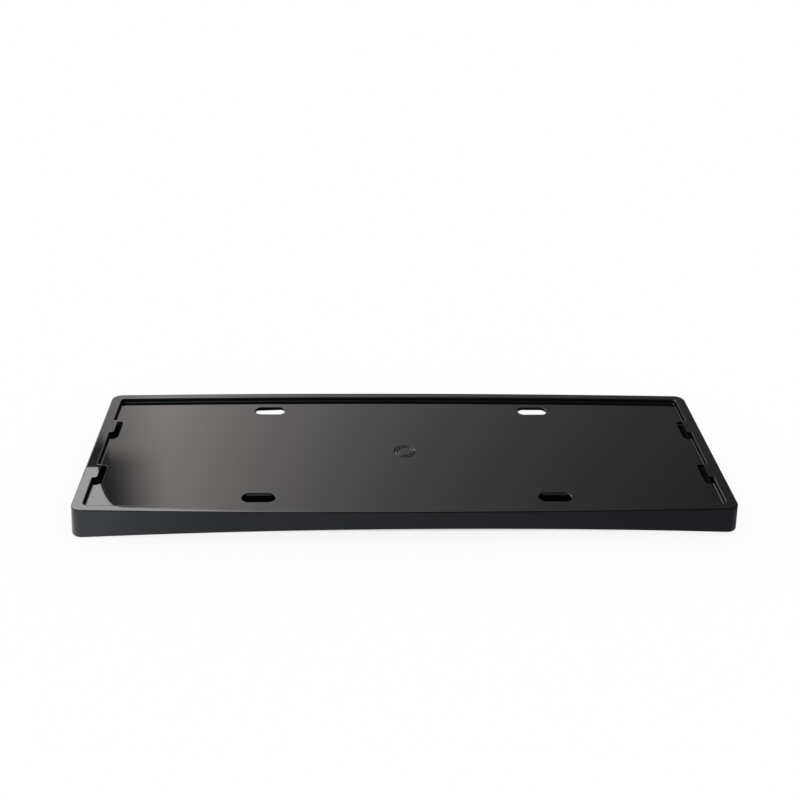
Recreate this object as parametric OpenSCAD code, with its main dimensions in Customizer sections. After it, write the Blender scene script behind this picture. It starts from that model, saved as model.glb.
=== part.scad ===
// Number plate holder, moulded in one piece: a shallow tray for the plate, with a rim,
// four tabs that the plate snaps under, four screw slots and an arched skirt round it.
// Lengths are in millimetres and angles in degrees. X runs along the plate, Y across it and
// Z away from the car. The origin is in the middle of the foot, on the plane it stands on.

/* [Number plate] */
// Length of the plate that lies in the recess
plate_w = 440; // [300:1:520]
// Height of the plate, across the recess
plate_d = 140; // [100:1:220]
// Gap between each end of the plate and the wall of the recess
end_gap = 2.2; // [0.5:0.1:6]
// Gap between each corner of the plate and the long wall beside it
side_gap = 0.7; // [0.3:0.1:6]

/* [Recess] */
// Depth of the recess below the rim
recess_depth = 3.3; // [2.4:0.1:5]
// How much further apart the long walls are in the middle than at an end, on each side
side_bulge = 3.2; // [1:0.1:10]
// Lean of the recess walls
recess_draft = 8; // [1:1:20]
// Radius of the recess in plan, at its corners
recess_r = 3; // [2:0.5:10]
// Radius where the recess walls meet the floor
foot_r = 0.8; // [0.3:0.1:1.2]
// Bevel along the top edge of the recess
recess_bevel = 0.4; // [0.1:0.1:0.8]

/* [Rim] */
// Width of the rim along the long sides
rim_side = 6.3; // [5.4:0.1:14]
// Width of the rim along the short ends
rim_end = 7.8; // [5.4:0.1:20]
// Radius of the rim in plan, at its corners
rim_r = 7.5; // [4:0.5:16]
// Rounding where the rim turns down into the skirt
rim_round = 0.8; // [0.3:0.1:1.5]

/* [Skirt] */
// Height of the holder at its deeper end
body_h = 21.6; // [16:0.1:40]
// Height of the arch that the skirt leaves open under the long sides
arch_h = 8.3; // [2:0.1:9]
// How far the top of the arch lies to the right of the middle
arch_shift = 20; // [-60:1:60]
// Lean of the skirt outwards
skirt_draft = 5.7; // [1:0.1:10]
// Thickness of every wall
wall = 2.2; // [1.6:0.1:2.6]

/* [Plate tabs] */
// Distance between the two tabs at one end, centre to centre
tab_pitch = 60; // [40:1:90]
// Length of a tab along the rim
tab_len = 16.5; // [8:0.5:24]
// How far a tab reaches in over the recess
tab_reach = 3; // [2.4:0.1:5]
// Thickness of a tab
tab_t = 1.4; // [1:0.1:1.8]
// Radius of the two free corners of a tab
tab_r = 1.8; // [0.5:0.1:2.2]

/* [Windows under the tabs] */
// How far a window runs past each end of its tab
window_end = 3.6; // [1:0.1:6]
// How far a window runs past the free edge of its tab
window_side = 3.4; // [1:0.1:8]
// Radius of the two inner corners of a window
window_r = 2.6; // [0.5:0.1:3]

/* [Screw slots] */
// Distance between the slots along the plate, centre to centre
slot_pitch_x = 208; // [120:1:260]
// Distance of the slots from the long edge of the plate, to the middle of their width
slot_inset = 11.75; // [10.5:0.05:30]
// Length of a slot, end to end
slot_len = 23; // [12:0.5:40]
// Width of a slot
slot_w = 10; // [5:0.5:11]
// Bevel round the top edge of a slot
slot_bevel = 0.5; // [0.2:0.1:1]

/* [Centre rings] */
// Diameter of the outer ring groove, to the middle of its width
ring_d = 15.2; // [12:0.1:30]
// Diameter of the inner ring groove, to the middle of its width
inner_ring_d = 10.6; // [5:0.1:11]
// Width of the ring grooves at the floor
ring_w = 1.1; // [0.6:0.1:1.6]
// Depth of the ring grooves
ring_depth = 0.5; // [0.2:0.1:1]

/* [Hidden] */

// Half sizes of the recess and of the rim round it, taken at the middle of each side
recess_x = plate_w / 2 + end_gap;
recess_y = plate_d / 2 + side_gap + side_bulge;
rim_x = recess_x + rim_end;
rim_y = recess_y + rim_side;

// Every long side is an arc about one of two upright axes, this far behind the middle
bulge_r = (pow(recess_x, 2) + pow(side_bulge, 2)) / (2 * side_bulge);
bulge_axis = bulge_r - recess_y;

// The arch is one arc. It starts at the inner face of the wall that ends the deeper end
foot_y = rim_y + body_h * tan(skirt_draft);
arch_run = rim_x - wall + abs(arch_shift);
arch_r = (pow(arch_run, 2) + pow(arch_h, 2)) / (2 * arch_h);

// The floor of the recess, its foot line at an end, and the free edge of the tabs
floor_z = -recess_depth;
recess_foot_x = recess_x - recess_depth * tan(recess_draft);
tab_edge_x = recess_x - tab_reach;

// Distance between the slots across the plate, centre to centre
slot_pitch_y = plate_d - 2 * slot_inset;

// How far a cutter runs past what it cuts
cut = 1;
// Steps in the rounding of the rim and of the recess foot
round_steps = 5;
// Step between a corner radius and its neighbours, which keeps their edges distinct
corner_step = 0.03;

// Outline of an edge, from top down to drop below height 0, where it lies at reach.
// The side leans outwards by lean. Its top corner is rounded where round is over 0, and its
// bottom corner where foot is over 0
function edge_outline(reach, top, drop, lean, round, foot) =
    let (
        round_x = reach - round * (1 - sin(lean)) / cos(lean),
        foot_x = reach + (drop - foot * (1 + sin(lean))) * tan(lean) - foot * cos(lean)
    )
    concat(
        round > 0
            ? [for (i = [0:round_steps]) let (a = 90 - (90 - lean) * i / round_steps)
                [round_x + round * cos(a), top - round + round * sin(a)]]
            : [[reach - top * tan(lean), top]],
        foot > 0
            ? [for (i = [0:round_steps]) let (a = lean - (90 + lean) * i / round_steps)
                [foot_x + foot * cos(a), foot - drop + foot * sin(a)]]
            : [[reach + drop * tan(lean), -drop]]
    );

// A disc with that edge, round the axis, or a ring from inner outwards
module turned_edge(inner, reach, top, drop, lean, round, foot) {
    outline = edge_outline(reach, top, drop, lean, round, foot);
    rotate_extrude($fn = inner > 0 ? 3600 : 96)
        polygon(concat([[inner, top]], outline, [[inner, -drop]]));
}

// Centre of a corner radius, which meets both sides smoothly to within corner_step
function corner_at(x, y, r) =
    [x - r + corner_step, sqrt(pow(y + bulge_axis - r, 2) - pow(x - r, 2)) - bulge_axis - corner_step];

// A ring whose far edge is one bulging long side
module long_side(y, top, drop, lean, round, foot) {
    translate([0, -bulge_axis, 0])
        turned_edge(bulge_axis - 2 * y, bulge_axis + y, top, drop, lean, round, foot);
}

// Both straight ends, as one long bar across the tray
module short_ends(x, y, top, drop, lean, round, foot) {
    right = edge_outline(x, top, drop, lean, round, foot);
    left = [for (i = [len(right) - 1:-1:0]) [-right[i][0], right[i][1]]];
    rotate([90, 0, 0]) linear_extrude(2 * (y + body_h), center = true) polygon(concat(right, left));
}

// What lies outside the corner radius, in the quarter beyond its centre
module corner_waste(x, y, r, top, drop, lean, round, foot) {
    out = r + drop * abs(tan(lean)) + 2 * cut;
    translate(concat(corner_at(x, y, r), [0])) difference() {
        translate([0, 0, -drop - cut]) cube([out, out, drop + top + 2 * cut]);
        turned_edge(0, r, top, drop, lean, round, foot);
    }
}

// A block with bulging long sides, straight ends and leaning walls.
// x and y are its half sizes at height 0, and r is its corner radius there
module block(x, y, r, top, drop, lean, round = 0, foot = 0) {
    difference() {
        intersection() {
            long_side(y, top, drop, lean, round, foot);
            mirror([0, 1, 0]) long_side(y, top, drop, lean, round, foot);
            short_ends(x, y, top, drop, lean, round, foot);
        }
        for (mx = [0, 1], my = [0, 1]) mirror([mx, 0, 0]) mirror([0, my, 0])
            corner_waste(x, y, r, top, drop, lean, round, foot);
    }
}

// Outer form of the holder, down to its foot
module outer_form() {
    block(rim_x, rim_y, rim_r, 0, body_h, skirt_draft, rim_round);
}

// Arch along the foot of both long sides
module arch() {
    translate([arch_shift, 0, arch_h - body_h - arch_r]) rotate([90, 0, 0])
        cylinder(h = 2 * foot_y + 2 * cut, r = arch_r, center = true, $fn = 2400);
}

// Open underside: inside the skirt, up to the rim, and round the pan that holds the plate
module underside() {
    difference() {
        block(rim_x - wall, rim_y - wall, rim_r - wall, -wall, body_h + cut, skirt_draft);
        block(recess_x + wall, recess_y + wall, recess_r + wall, 0, recess_depth + wall, -recess_draft);
    }
}

// Recess for the plate, with a bevel along its top edge and a radius at its foot
module recess() {
    block(recess_x, recess_y, recess_r, cut, recess_depth, -recess_draft, 0, foot_r);
    block(recess_x + recess_bevel, recess_y + recess_bevel, recess_r + recess_bevel, cut, recess_bevel, -45);
}

// Plan of a tab or a window at the right-hand end, with its two inner corners rounded
module tongue(x0, x1, len, r) {
    translate([x0 + r, -len / 2]) square([x1 - x0 - r, len]);
    translate([x0, -len / 2 + r]) square([x1 - x0, len - 2 * r]);
    for (side = [-1, 1]) translate([x0 + r, side * (len / 2 - r)]) circle(r = r, $fn = 48);
}

// The four places of a tab and its window
module at_tabs() {
    for (end = [0, 1], side = [-1, 1])
        mirror([end, 0, 0]) translate([0, side * tab_pitch / 2, 0]) children();
}

// Tab that holds down one end of the plate, flush with the rim and rooted in it
module tab() {
    translate([0, 0, -tab_t]) linear_extrude(tab_t)
        tongue(tab_edge_x, recess_x + rim_end / 2, tab_len, tab_r);
}

// Window through the floor under a tab, which the mould needs to form the tab's lower face
module window() {
    translate([0, 0, floor_z - wall - cut]) linear_extrude(wall + 2 * cut)
        tongue(tab_edge_x - window_side, recess_foot_x, tab_len + 2 * window_end, window_r);
}

// Screw slot with rounded ends, its length along the plate
module screw_slot() {
    run = slot_len - slot_w;
    flare = slot_w / 2 + slot_bevel + cut;
    translate([0, 0, floor_z - wall - cut]) linear_extrude(wall + 2 * cut) {
        square([run, slot_w], center = true);
        for (end = [-1, 1]) translate([end * run / 2, 0]) circle(d = slot_w, $fn = 64);
    }
    for (end = [-1, 1]) translate([end * run / 2, 0, floor_z - slot_bevel])
        cylinder(h = slot_bevel + cut, r1 = slot_w / 2, r2 = flare, $fn = 64);
    translate([-run / 2, 0, floor_z]) rotate([90, 0, 90]) linear_extrude(run)
        polygon([[-slot_w / 2, -slot_bevel], [slot_w / 2, -slot_bevel], [flare, cut], [-flare, cut]]);
}

// The four screw slots
module screw_slots() {
    for (x = [-1, 1], y = [-1, 1])
        translate([x * slot_pitch_x / 2, y * slot_pitch_y / 2, 0]) screw_slot();
}

// One ring groove with sloping sides, in the floor of the recess
module ring_groove(d) {
    flare = ring_w / 2 * (1 + cut / ring_depth);
    translate([0, 0, floor_z]) rotate_extrude($fn = 96)
        polygon([[d / 2 - flare, cut], [d / 2, -ring_depth], [d / 2 + flare, cut]]);
}

module plate_holder() {
    color("#1c1c1e") translate([0, 0, body_h]) {
        difference() {
            outer_form();
            arch();
            underside();
            recess();
            screw_slots();
            ring_groove(ring_d);
            ring_groove(inner_ring_d);
            at_tabs() window();
        }
        at_tabs() tab();
    }
}

plate_holder();
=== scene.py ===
"""Looks of a gloss black number plate holder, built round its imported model.

Everything is in metres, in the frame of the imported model: X runs along the plate, Y across it,
and Z is 0 on the plane that the holder stands on.
"""

import logging
import math
from dataclasses import dataclass
from enum import Enum

import bpy
import numpy as np
from mathutils import Matrix, Vector

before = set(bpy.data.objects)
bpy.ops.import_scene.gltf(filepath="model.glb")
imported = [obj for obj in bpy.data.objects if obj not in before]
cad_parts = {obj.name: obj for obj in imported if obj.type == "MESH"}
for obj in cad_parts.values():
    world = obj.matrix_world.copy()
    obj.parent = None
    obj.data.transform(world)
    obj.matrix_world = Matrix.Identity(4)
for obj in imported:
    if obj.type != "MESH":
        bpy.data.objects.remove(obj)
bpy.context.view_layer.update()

MM = 0.001
WHITE = "#ffffff"

# The sRGB curve is straight up to its knee, and a power above it
SRGB_KNEE = 0.04045
SRGB_SLOPE = 12.92
SRGB_OFFSET = 0.055
SRGB_POWER = 2.4

# Sockets of the Mix node when it mixes colours
MIX_SHARE, MIX_FIRST, MIX_SECOND, MIX_RESULT = 0, 6, 7, 2

Tree = bpy.types.NodeTree
Socket = bpy.types.NodeSocket
Term = float | tuple[float, float, float] | Socket

log = logging.getLogger("plate_holder")


def linear(hex_colour: str) -> tuple[float, float, float, float]:
    """Turns an sRGB hex colour into the linear colour that a shader takes.

    Args:
        hex_colour: Six hex digits, with or without a leading #.

    Returns:
        Linear red, green and blue, and an alpha of 1.
    """
    digits = hex_colour.lstrip("#")
    srgb = np.array([int(digits[i : i + 2], 16) for i in (0, 2, 4)]) / 255
    curve = ((srgb + SRGB_OFFSET) / (1 + SRGB_OFFSET)) ** SRGB_POWER
    rgb = np.where(srgb <= SRGB_KNEE, srgb / SRGB_SLOPE, curve)
    return (*(float(c) for c in rgb), 1.0)


def add_node(
    tree: Tree,
    kind: str,
    settings: dict[str, object] | None = None,
    values: dict[int | str, object] | None = None,
    links: dict[int | str, Socket] | None = None,
) -> bpy.types.Node:
    """Adds one shader node.

    Args:
        tree: The node tree that gets it.
        kind: The node's type.
        settings: Properties of the node itself, such as its operation.
        values: Constants for its input sockets, by name or number.
        links: Output sockets to join to its input sockets, by name or number.

    Returns:
        The new node.
    """
    node = tree.nodes.new(kind)
    for name, value in (settings or {}).items():
        setattr(node, name, value)
    for name, value in (values or {}).items():
        node.inputs[name].default_value = value
    for name, source in (links or {}).items():
        tree.links.new(source, node.inputs[name])
    return node


def fill_inputs(tree: Tree, node: bpy.types.Node, terms: tuple[Term, ...]) -> None:
    """Fills a node's first inputs in order, with constants or links."""
    for slot, term in zip(node.inputs, terms):
        if isinstance(term, Socket):
            tree.links.new(term, slot)
        else:
            slot.default_value = term


def add_math(tree: Tree, operation: str, *terms: Term) -> Socket:
    """Adds a Math node.

    Args:
        tree: The node tree that gets it.
        operation: What it does, such as MULTIPLY.
        terms: Its inputs in order, each a number or a socket.

    Returns:
        Its output socket.
    """
    node = add_node(tree, "ShaderNodeMath", {"operation": operation})
    fill_inputs(tree, node, terms)
    return node.outputs["Value"]


def add_vector_math(tree: Tree, operation: str, *terms: Term) -> bpy.types.Node:
    """Adds a Vector Math node, whose inputs are given as for add_math, and gives the node."""
    node = add_node(tree, "ShaderNodeVectorMath", {"operation": operation})
    fill_inputs(tree, node, terms)
    return node


def add_noise(tree: Tree, place: Socket, size: float, detail: float) -> Socket:
    """Gives the value of a noise whose patches are about size metres across."""
    noise = add_node(
        tree, "ShaderNodeTexNoise", values={"Scale": 1 / size, "Detail": detail},
        links={"Vector": place},
    )
    return noise.outputs["Fac"]


def add_axes(tree: Tree, vector: Socket) -> dict[str, Socket]:
    """Splits a vector into the sockets of its X, Y and Z."""
    outputs = add_node(tree, "ShaderNodeSeparateXYZ", links={0: vector}).outputs
    return {axis: outputs[axis] for axis in "XYZ"}


def mix_colours(tree: Tree, share: Socket, first: str, second: str) -> Socket:
    """Gives a colour between two hex colours: the first where the share is 0."""
    node = add_node(
        tree, "ShaderNodeMix", {"data_type": "RGBA"},
        values={MIX_FIRST: linear(first), MIX_SECOND: linear(second)}, links={MIX_SHARE: share},
    )
    return node.outputs[MIX_RESULT]


def mix_shaders(tree: Tree, share: Socket, first: Socket, second: Socket) -> Socket:
    """Gives a shader between two others: the first where the share is 0."""
    return add_node(tree, "ShaderNodeMixShader", links={0: share, 1: first, 2: second}).outputs[0]


class Ease(Enum):
    """How a ramp runs between its ends."""

    STRAIGHT = "LINEAR"
    SOFT = "SMOOTHSTEP"


@dataclass(frozen=True)
class Ramp:
    """A value that is low up to start, runs to high at end, and is held there."""

    start: float
    end: float
    low: float = 0.0
    high: float = 1.0
    ease: Ease = Ease.SOFT

    def add(
        self, tree: Tree, source: Socket, low: Socket | None = None, high: Socket | None = None
    ) -> Socket:
        """Adds the ramp to a node tree.

        Args:
            tree: The node tree that gets it.
            source: The socket that the ramp follows.
            low: A socket that stands in for the ramp's own low.
            high: A socket that stands in for the ramp's own high.

        Returns:
            The socket with the ramp's value.
        """
        links = {"Value": source, "To Min": low, "To Max": high}
        node = add_node(
            tree, "ShaderNodeMapRange", {"interpolation_type": self.ease.value},
            values={
                "From Min": self.start, "From Max": self.end,
                "To Min": self.low, "To Max": self.high,
            },
            links={name: socket for name, socket in links.items() if socket},
        )
        return node.outputs["Result"]


# What the gloss mirrors twice keeps this share: the walls of the tray show the studio only by
# way of its floor, and they stay dark
MIRRORED_TWICE = Ramp(1.0, 2.0, 1.0, 0.15, Ease.STRAIGHT)

# The studio's light is e to the power of a curve in X: its share of X squared, of X, and alone
LIGHT_CURVE = (0.334, -2.123, -0.108)


def mirrored_once(tree: Tree) -> Socket:
    """Gives 1 to light that gloss mirrors once, and a small share to what it mirrors twice."""
    depth = add_node(tree, "ShaderNodeLightPath").outputs["Glossy Depth"]
    return MIRRORED_TWICE.add(tree, depth)


def light_along_x(tree: Tree, across: Socket) -> Socket:
    """Gives the studio's light, which falls off along X from the window side.

    Args:
        tree: The node tree of the light.
        across: The socket with X in metres.

    Returns:
        The socket with the light of LIGHT_CURVE.
    """
    square, slope, level = LIGHT_CURVE
    steepness = add_math(tree, "MULTIPLY_ADD", across, square, slope)
    power = add_math(tree, "MULTIPLY_ADD", steepness, across, level)
    return add_math(tree, "EXPONENT", power)


def beyond_box(
    tree: Tree,
    place: Socket,
    half: tuple[float, float, float],
    unit: tuple[float, float, float] = (1.0, 1.0, 1.0),
) -> Socket:
    """Gives how far a point lies outside an upright box about the origin, seen from above.

    Args:
        tree: The node tree that gets the nodes.
        place: The socket with the point.
        half: Half sizes of the box.
        unit: What counts as 1 along each axis.

    Returns:
        The socket with the larger of the two distances, along X and along Y. It's below 0 inside.
    """
    apart = add_vector_math(tree, "ABSOLUTE", place).outputs["Vector"]
    beyond = add_vector_math(tree, "SUBTRACT", apart, half).outputs["Vector"]
    axes = add_axes(tree, add_vector_math(tree, "DIVIDE", beyond, unit).outputs["Vector"])
    return add_math(tree, "MAXIMUM", axes["X"], axes["Y"])


def new_material(name: str) -> bpy.types.Material:
    """Makes an empty node material with that name."""
    material = bpy.data.materials.new(name)
    material.use_nodes = True
    material.node_tree.nodes.clear()
    return material


def grid_mesh(name: str, points: np.ndarray) -> bpy.types.Object:
    """Makes an object from one surface on a grid.

    Args:
        name: Name of the object.
        points: Array of rows by columns by 3, in metres. Faces look along the cross product
            of the row direction and the column direction.

    Returns:
        The new object, linked to the scene.
    """
    rows, columns = points.shape[:2]
    index = np.arange(rows * columns).reshape(rows, columns)
    quads = np.stack([index[:-1, :-1], index[1:, :-1], index[1:, 1:], index[:-1, 1:]], -1)
    mesh = bpy.data.meshes.new(name)
    mesh.from_pydata(points.reshape(-1, 3).tolist(), [], quads.reshape(-1, 4).tolist())
    mesh.update()
    thing = bpy.data.objects.new(name, mesh)
    bpy.context.scene.collection.objects.link(thing)
    return thing


@dataclass(frozen=True)
class GlossBlackAbs:
    """Black ABS, injection moulded in a polished mould.

    It gives the eye a near mirror over a black that is almost free of colour. What it mirrors
    is bent a little by the slow waves of cooled plastic, and dulled by a faint haze. Every
    edge has the small radius that a mould leaves. It is smallest on the rings, which lie
    nearest to the origin, and largest on the rim and the walls under it.
    """

    name: str = "gloss_black_abs_polished_mould"
    colour: str = "#08080a"
    haze_colour: str = "#0c0c0e"
    ior: float = 1.5
    haze_size: float = 18 * MM
    haze_detail: float = 3.0
    roughness_by_haze: Ramp = Ramp(0.3, 0.7, 0.012, 0.024, Ease.STRAIGHT)
    wave_size: float = 55 * MM
    wave_detail: float = 1.0
    wave_height: float = 0.006 * MM
    edge_by_distance: Ramp = Ramp(24 * MM, 28 * MM, 0.08 * MM, 0.3 * MM, Ease.STRAIGHT)
    rim_edge: Ramp = Ramp(-5 * MM, -4 * MM, high=1.1 * MM, ease=Ease.STRAIGHT)
    rim_half: tuple[float, float, float] = (0.2245, 0.0715, 1.0)
    edge_samples: int = 12

    def material(self) -> bpy.types.Material:
        """Makes the material, on Object coordinates."""
        made = new_material(self.name)
        tree = made.node_tree
        place = add_node(tree, "ShaderNodeTexCoord").outputs["Object"]
        # Haze: patches where the mould's polish is a little less
        haze = add_noise(tree, place, self.haze_size, self.haze_detail)
        shader = add_node(
            tree, "ShaderNodeBsdfPrincipled", values={"IOR": self.ior},
            links={
                "Base Color": mix_colours(tree, haze, self.colour, self.haze_colour),
                "Roughness": self.roughness_by_haze.add(tree, haze),
                "Normal": self.surface(tree, place),
            },
        )
        add_node(tree, "ShaderNodeOutputMaterial", links={"Surface": shader.outputs["BSDF"]})
        return made

    def surface(self, tree: Tree, place: Socket) -> Socket:
        """Gives the normal, with the mould's edge radius and the waves of the cooled plastic.

        Args:
            tree: The material's node tree.
            place: The socket with the Object coordinates.

        Returns:
            The socket with the normal.
        """
        distance = add_vector_math(tree, "LENGTH", place).outputs["Value"]
        small = self.edge_by_distance.add(tree, distance)
        radius = self.rim_edge.add(tree, beyond_box(tree, place, self.rim_half), low=small)
        edge = add_node(
            tree, "ShaderNodeBevel", {"samples": self.edge_samples}, links={"Radius": radius}
        )
        wave = add_noise(tree, place, self.wave_size, self.wave_detail)
        bump = add_node(
            tree, "ShaderNodeBump", values={"Strength": 1.0, "Distance": self.wave_height},
            links={"Height": wave, "Normal": edge.outputs["Normal"]},
        )
        return bump.outputs["Normal"]


@dataclass(frozen=True)
class StudioPaper:
    """White backdrop paper, matt.

    The camera sees it as plain white with a soft shadow, and sees through it from below, to
    the holder's open underside. Gloss sees it fall off from the window side to the far side,
    as the skirt of the holder shows it. Under the holder it carries painted shade: its colour
    is painted dark there, and its glow and the light that gloss finds there stop.
    """

    name: str = "white_studio_paper"
    colour: str = "#fcfcfc"
    # Colour of the painted shade under the holder
    shade_colour: str = "#303032"
    glow_share: float = 0.88
    gloss_colour: str = "#f2f7ff"
    gloss_middle: float = 0.45
    gloss_slope: float = -0.85
    gloss_side: float = 0.45
    gloss_side_x: float = -0.209
    gloss_side_run: float = 0.041
    gloss_least: float = 0.15
    gloss_most: float = 1.2
    # Half sizes, soft edges and ramp of the box of painted shade under the holder
    shade_half: tuple[float, float, float] = (0.2322, 0.0745, 1.0)
    shade_edge: tuple[float, float, float] = (0.001, 0.008, 1.0)
    shade_end: Ramp = Ramp(-1.0, 0.0)

    def material(self) -> bpy.types.Material:
        """Makes the material, on Object coordinates."""
        made = new_material(self.name)
        tree = made.node_tree
        rays = add_node(tree, "ShaderNodeLightPath").outputs
        place = add_node(tree, "ShaderNodeTexCoord").outputs["Object"]
        # Painted shade: this mask paints the paper dark under the holder, and stops its glow and
        # its gloss light there
        clear = self.shade_end.add(
            tree, beyond_box(tree, place, self.shade_half, self.shade_edge)
        )
        tone = mix_colours(tree, clear, self.shade_colour, self.colour)
        matt = add_node(tree, "ShaderNodeBsdfDiffuse", links={"Color": tone})
        seen = add_node(tree, "ShaderNodeEmission", values={"Color": linear(WHITE)})
        direct = add_math(tree, "MAXIMUM", rays["Is Camera Ray"], rays["Is Transmission Ray"])
        glow = add_math(tree, "MULTIPLY", clear, self.glow_share)
        share = add_math(tree, "MULTIPLY", direct, glow)
        paper = mix_shaders(tree, share, matt.outputs[0], seen.outputs[0])
        mirrored = add_node(
            tree, "ShaderNodeEmission", values={"Color": linear(self.gloss_colour)},
            links={"Strength": add_math(tree, "MULTIPLY", self.gloss_level(tree, place), clear)},
        )
        shown = mix_shaders(tree, rays["Is Glossy Ray"], paper, mirrored.outputs[0])
        back = add_node(tree, "ShaderNodeNewGeometry").outputs["Backfacing"]
        below = add_math(tree, "MULTIPLY", rays["Is Camera Ray"], back)
        gone = add_node(tree, "ShaderNodeBsdfTransparent")
        sided = mix_shaders(tree, below, shown, gone.outputs[0])
        add_node(tree, "ShaderNodeOutputMaterial", links={"Surface": sided})
        return made

    def gloss_level(self, tree: Tree, place: Socket) -> Socket:
        """Gives the light that gloss finds: a slope along X, and a lift towards the window side.

        Args:
            tree: The material's node tree.
            place: The socket with the Object coordinates.

        Returns:
            The socket with the light.
        """
        across = add_axes(tree, place)["X"]
        slope = add_math(tree, "MULTIPLY_ADD", across, self.gloss_slope, self.gloss_middle)
        steepness = 1 / self.gloss_side_run
        reach = add_math(
            tree, "MULTIPLY_ADD", across, -steepness, self.gloss_side_x * steepness
        )
        lift = add_math(tree, "EXPONENT", reach)
        lifted = add_math(tree, "MULTIPLY_ADD", lift, self.gloss_side, slope)
        held = add_node(
            tree, "ShaderNodeClamp", values={"Min": self.gloss_least, "Max": self.gloss_most},
            links={"Value": lifted},
        )
        return held.outputs[0]


@dataclass(frozen=True)
class BoardShading:
    """Shading of the board: light that falls off along X, and a shadow down its left side.

    The light stays under a ceiling. The shadow is weaker low down, below a line that drops at
    the board's left edge. The board's foot is darker, and its bright side a little warmer.
    """

    name: str = "shaded_studio_board"
    most: float = 2.35
    most_softness: float = 0.4
    shadow_along_x: Ramp = Ramp(-0.6, -0.44, 0.91, 0.0)
    line_drop: Ramp = Ramp(-0.59, -0.575, 0.035, 0.0, Ease.STRAIGHT)
    shadow_by_height: Ramp = Ramp(0.855, 0.915, 0.47, 1.0)
    foot: Ramp = Ramp(0.5, 0.74, 0.3, 1.0)
    warmth: Ramp = Ramp(0.0, 2.0, ease=Ease.STRAIGHT)
    cool_colour: str = "#fefefe"
    warm_colour: str = "#fff6f4"

    def material(self) -> bpy.types.Material:
        """Makes the material, on Object coordinates."""
        made = new_material(self.name)
        tree = made.node_tree
        axes = add_axes(tree, add_node(tree, "ShaderNodeTexCoord").outputs["Object"])
        fall = light_along_x(tree, axes["X"])
        held = add_math(tree, "SMOOTH_MIN", fall, self.most, self.most_softness)
        raised = add_math(tree, "ADD", axes["Z"], self.line_drop.add(tree, axes["X"]))
        dark = add_math(
            tree, "MULTIPLY",
            self.shadow_along_x.add(tree, axes["X"]), self.shadow_by_height.add(tree, raised),
        )
        shaded = add_math(tree, "MULTIPLY", held, add_math(tree, "SUBTRACT", 1.0, dark))
        faded = add_math(tree, "MULTIPLY", shaded, self.foot.add(tree, axes["Z"]))
        warmth = self.warmth.add(tree, held)
        glow = add_node(
            tree, "ShaderNodeEmission",
            links={
                "Color": mix_colours(tree, warmth, self.cool_colour, self.warm_colour),
                "Strength": add_math(tree, "MULTIPLY", faded, mirrored_once(tree)),
            },
        )
        add_node(tree, "ShaderNodeOutputMaterial", links={"Surface": glow.outputs[0]})
        return made


@dataclass(frozen=True)
class PanelCloth:
    """Cloth of the light panel: the studio's light, and more of it high on the window side."""

    name: str = "light_panel_cloth"
    colour: str = "#fdfdff"
    share: float = 1.65
    most: float = 4.5
    window_side: Ramp = Ramp(-0.2, -0.35, 1.0, 1.15)
    upper_part: Ramp = Ramp(1.08, 1.2, 1.0)

    def material(self) -> bpy.types.Material:
        """Makes the material, on Object coordinates."""
        made = new_material(self.name)
        tree = made.node_tree
        axes = add_axes(tree, add_node(tree, "ShaderNodeTexCoord").outputs["Object"])
        graded = add_math(tree, "MULTIPLY", light_along_x(tree, axes["X"]), self.share)
        held = add_math(tree, "MINIMUM", graded, self.most)
        side = self.window_side.add(tree, axes["X"])
        raised = add_math(tree, "MULTIPLY", held, self.upper_part.add(tree, axes["Z"], high=side))
        glow = add_node(
            tree, "ShaderNodeEmission", values={"Color": linear(self.colour)},
            links={"Strength": add_math(tree, "MULTIPLY", raised, mirrored_once(tree))},
        )
        add_node(tree, "ShaderNodeOutputMaterial", links={"Surface": glow.outputs[0]})
        return made


@dataclass(frozen=True)
class StudioAir:
    """The light all round: even white, which gloss sees as a room.

    Gloss sees it fall off along X. Overhead it is dimmer past the middle, and brighter on the
    window side. In front it falls to a dim band low down, and almost to black above.
    """

    name: str = "soft_studio"
    slope: float = -3.2
    level: float = -0.14
    most: float = 1.8
    most_softness: float = 0.4
    overhead_along_x: Ramp = Ramp(0.02, -0.14, 0.6, 1.6)
    overhead: Ramp = Ramp(0.6, 0.9, 1.0)
    front_by_height: Ramp = Ramp(0.35, 0.55, 0.3, 0.05)
    front: Ramp = Ramp(0.15, -0.4, 1.0)

    def build(self) -> bpy.types.World:
        """Makes the world and gives it to the scene."""
        world = bpy.data.worlds.new(self.name)
        world.use_nodes = True
        tree = world.node_tree
        tree.nodes.clear()
        bpy.context.scene.world = world
        axes = add_axes(tree, add_node(tree, "ShaderNodeTexCoord").outputs["Generated"])
        power = add_math(tree, "MULTIPLY_ADD", axes["X"], self.slope, self.level)
        fall = add_math(tree, "EXPONENT", power)
        held = add_math(tree, "SMOOTH_MIN", fall, self.most, self.most_softness)
        zenith = self.overhead_along_x.add(tree, axes["X"])
        roofed = add_math(
            tree, "MULTIPLY", held, self.overhead.add(tree, axes["Z"], high=zenith)
        )
        low = self.front_by_height.add(tree, axes["Z"])
        turned = add_math(tree, "MULTIPLY", roofed, self.front.add(tree, axes["Y"], high=low))
        white = {"Color": linear(WHITE)}
        even = add_node(tree, "ShaderNodeBackground", values=white)
        shaded = add_node(
            tree, "ShaderNodeBackground", values=white,
            links={"Strength": add_math(tree, "MULTIPLY", turned, mirrored_once(tree))},
        )
        glossy = add_node(tree, "ShaderNodeLightPath").outputs["Is Glossy Ray"]
        shown = mix_shaders(tree, glossy, even.outputs[0], shaded.outputs[0])
        add_node(tree, "ShaderNodeOutputWorld", links={"Surface": shown})
        return world


class SeenBy(Enum):
    """Which rays find a thing on the stage."""

    EVERYTHING = "everything"
    GLOSS = "gloss alone"


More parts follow.
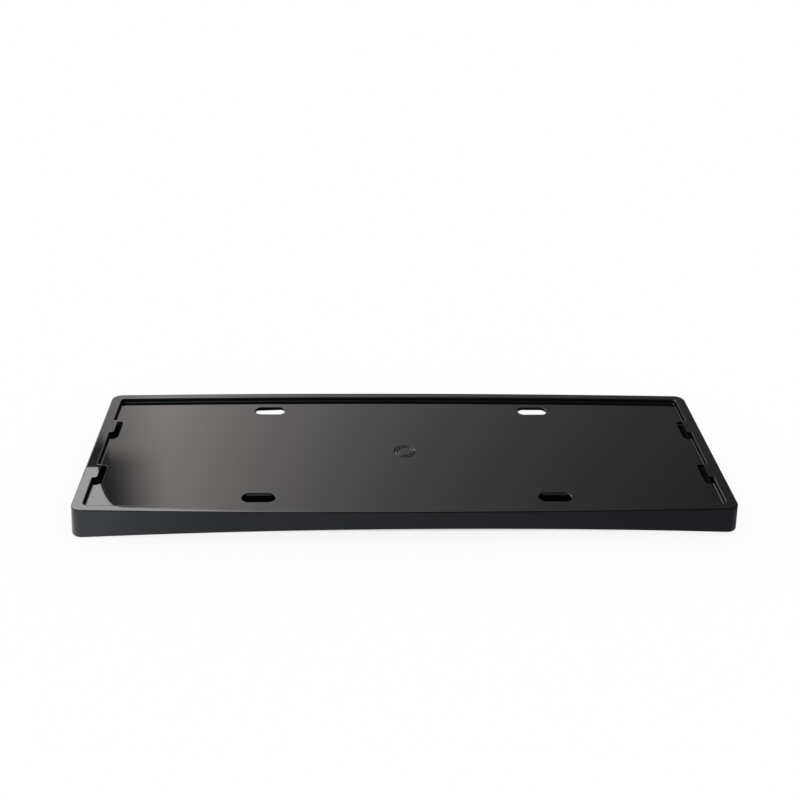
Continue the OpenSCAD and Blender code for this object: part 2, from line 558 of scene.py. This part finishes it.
@dataclass(frozen=True)
class Studio:
    """The floor, the board, flag and panel that the gloss mirrors, and the light all round."""

    # Points along each side of a flat thing
    flat_points: int = 3
    floor_half: float = 6.0
    floor_gap: float = 0.02 * MM
    board_y: float = 1.3
    board_low: float = 0.1
    board_high: float = 1.036
    board_left: float = -0.607
    board_right: float = 3.0
    # Run of the round corner along X, and down from the top
    board_corner: tuple[float, float] = (0.045, 0.085)
    # Rise of the top edge, for each metre to the right of the corner
    board_rise: float = 0.04
    arc_steps: int = 24
    board_columns: int = 12
    board_rows: int = 8
    flag_high: float = 0.925
    flag_out: float = 0.15
    flag_overlap: float = 0.01
    flag_gap: float = 1 * MM
    panel_gap: float = 0.1
    panel_x: tuple[float, float] = (-2.2, 1.2)
    panel_z: tuple[float, float] = (0.86, 3.8)
    paper: StudioPaper = StudioPaper()
    board_shading: BoardShading = BoardShading()
    cloth: PanelCloth = PanelCloth()
    air: StudioAir = StudioAir()

    def build(self) -> list[bpy.types.Object]:
        """Makes the stage.

        Returns:
            The stage's objects.
        """
        shading = self.board_shading.material()
        stage = [self.floor(), self.board(shading), self.flag(shading), self.panel()]
        self.air.build()
        return stage

    def floor(self) -> bpy.types.Object:
        """Makes the floor: a flat square just under the holder's foot."""
        side = np.linspace(-self.floor_half, self.floor_half, self.flat_points)
        x, y = np.meshgrid(side, side, indexing="ij")
        points = np.stack([x, y, np.full_like(x, -self.floor_gap)], -1)
        return self.put("studio_floor", points, self.paper.material(), SeenBy.EVERYTHING)

    def board(self, shading: bpy.types.Material) -> bpy.types.Object:
        """Makes the shaded board behind the holder.

        Its face is a grid of a rectangle whose top left corner is round: each column of the
        grid stops at the height of the corner's arc there. The top edge rises to the right in
        proportion to the way from the corner.

        Args:
            shading: Its material.

        Returns:
            The board.
        """
        arc = np.linspace(0, math.pi / 2, self.arc_steps)
        corner_along, corner_down = self.board_corner
        left = self.board_left + corner_along * (1 - np.cos(arc))
        right = np.linspace(left[-1], self.board_right, self.board_columns)[1:]
        x = np.concatenate([left, right])
        top = self.board_high + self.board_rise * np.maximum(x - left[-1], 0)
        top[: len(arc)] = self.board_high - corner_down * (1 - np.sin(arc))
        fall = np.linspace(1, 0, self.board_rows)[:, None]
        z = top - fall * (top - self.board_low)
        points = np.stack([np.broadcast_to(x, z.shape), np.full_like(z, self.board_y), z], -1)
        return self.put("studio_board", points, shading, SeenBy.GLOSS)

    def flag(self, shading: bpy.types.Material) -> bpy.types.Object:
        """Makes the low card that stands against the board's left side, with that material."""
        along = np.array([-self.flag_out, self.flag_overlap]) + self.board_left
        x, z = np.meshgrid(along, np.array([self.board_low, self.flag_high]), indexing="ij")
        points = np.stack([x, np.full_like(x, self.board_y - self.flag_gap), z], -1)
        return self.put("studio_flag", points, shading, SeenBy.GLOSS)

    def panel(self) -> bpy.types.Object:
        """Makes the light panel that stands out past the board's left side and top."""
        along = np.linspace(*self.panel_x, self.flat_points)
        x, z = np.meshgrid(along, np.linspace(*self.panel_z, self.flat_points), indexing="ij")
        points = np.stack([x, np.full_like(x, self.board_y + self.panel_gap), z], -1)
        return self.put("studio_light_panel", points, self.cloth.material(), SeenBy.GLOSS)

    def put(
        self, name: str, points: np.ndarray, material: bpy.types.Material, seen_by: SeenBy
    ) -> bpy.types.Object:
        """Puts one surface on the stage.

        Args:
            name: Name of the object.
            points: Its grid of points, as for grid_mesh.
            material: Its material.
            seen_by: Everything, or gloss alone, out of the camera's and the light's way.

        Returns:
            The new object.
        """
        thing = grid_mesh(name, points)
        thing.data.materials.append(material)
        for kind in ("camera", "diffuse", "transmission", "volume_scatter", "shadow"):
            setattr(thing, f"visible_{kind}", seen_by is SeenBy.EVERYTHING)
        return thing


@dataclass(frozen=True)
class StudioCamera:
    """A camera at the photograph's angle, with no shift and no depth of field."""

    name: str = "studio_camera"
    place: tuple[float, float, float] = (-0.03619, -0.66105, 0.45507)
    heading_deg: float = 2.746
    down_deg: float = 30.65
    roll_deg: float = 1.496
    lens_mm: float = 47.7
    sensor_mm: float = 36.0

    def build(self) -> bpy.types.Object:
        """Makes the camera and gives it to the scene.

        Its view is heading_deg to the right of +Y and down_deg below level. Its own right
        and up directions are then turned by roll_deg about the view.

        Returns:
            The camera.
        """
        angles = (self.heading_deg, self.down_deg, self.roll_deg)
        heading, down, roll = (math.radians(angle) for angle in angles)
        view = Vector((
            math.cos(down) * math.sin(heading), math.cos(down) * math.cos(heading), -math.sin(down)
        ))
        level = view.cross(Vector((0, 0, 1))).normalized()
        rise = level.cross(view)
        right = math.cos(roll) * level + math.sin(roll) * rise
        up = math.cos(roll) * rise - math.sin(roll) * level
        data = bpy.data.cameras.new(self.name)
        data.lens, data.sensor_width = self.lens_mm, self.sensor_mm
        camera = bpy.data.objects.new(self.name, data)
        turn = Matrix((right, up, -view)).transposed().to_4x4()
        camera.matrix_world = Matrix.Translation(self.place) @ turn
        bpy.context.scene.collection.objects.link(camera)
        bpy.context.scene.camera = camera
        return camera


@dataclass(frozen=True)
class PlateHolder:
    """The holder itself, moulded in one piece."""

    node: str = "plate_holder"
    finish: GlossBlackAbs = GlossBlackAbs()

    def dress(self) -> bpy.types.Object:
        """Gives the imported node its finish."""
        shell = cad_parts[self.node]
        shell.data.materials.clear()
        shell.data.materials.append(self.finish.material())
        return shell


def main() -> None:
    """Builds the scene in order, and reports each piece."""
    logging.basicConfig(level=logging.INFO, format="%(name)s: %(message)s")
    bpy.context.scene.view_settings.view_transform = "Standard"
    StudioCamera().build()
    for thing in Studio().build():
        log.info("stage %s", thing.name)
    shell = PlateHolder().dress()
    log.info("piece %s, %d faces", shell.name, len(shell.data.polygons))


if __name__ == "__main__":
    main()
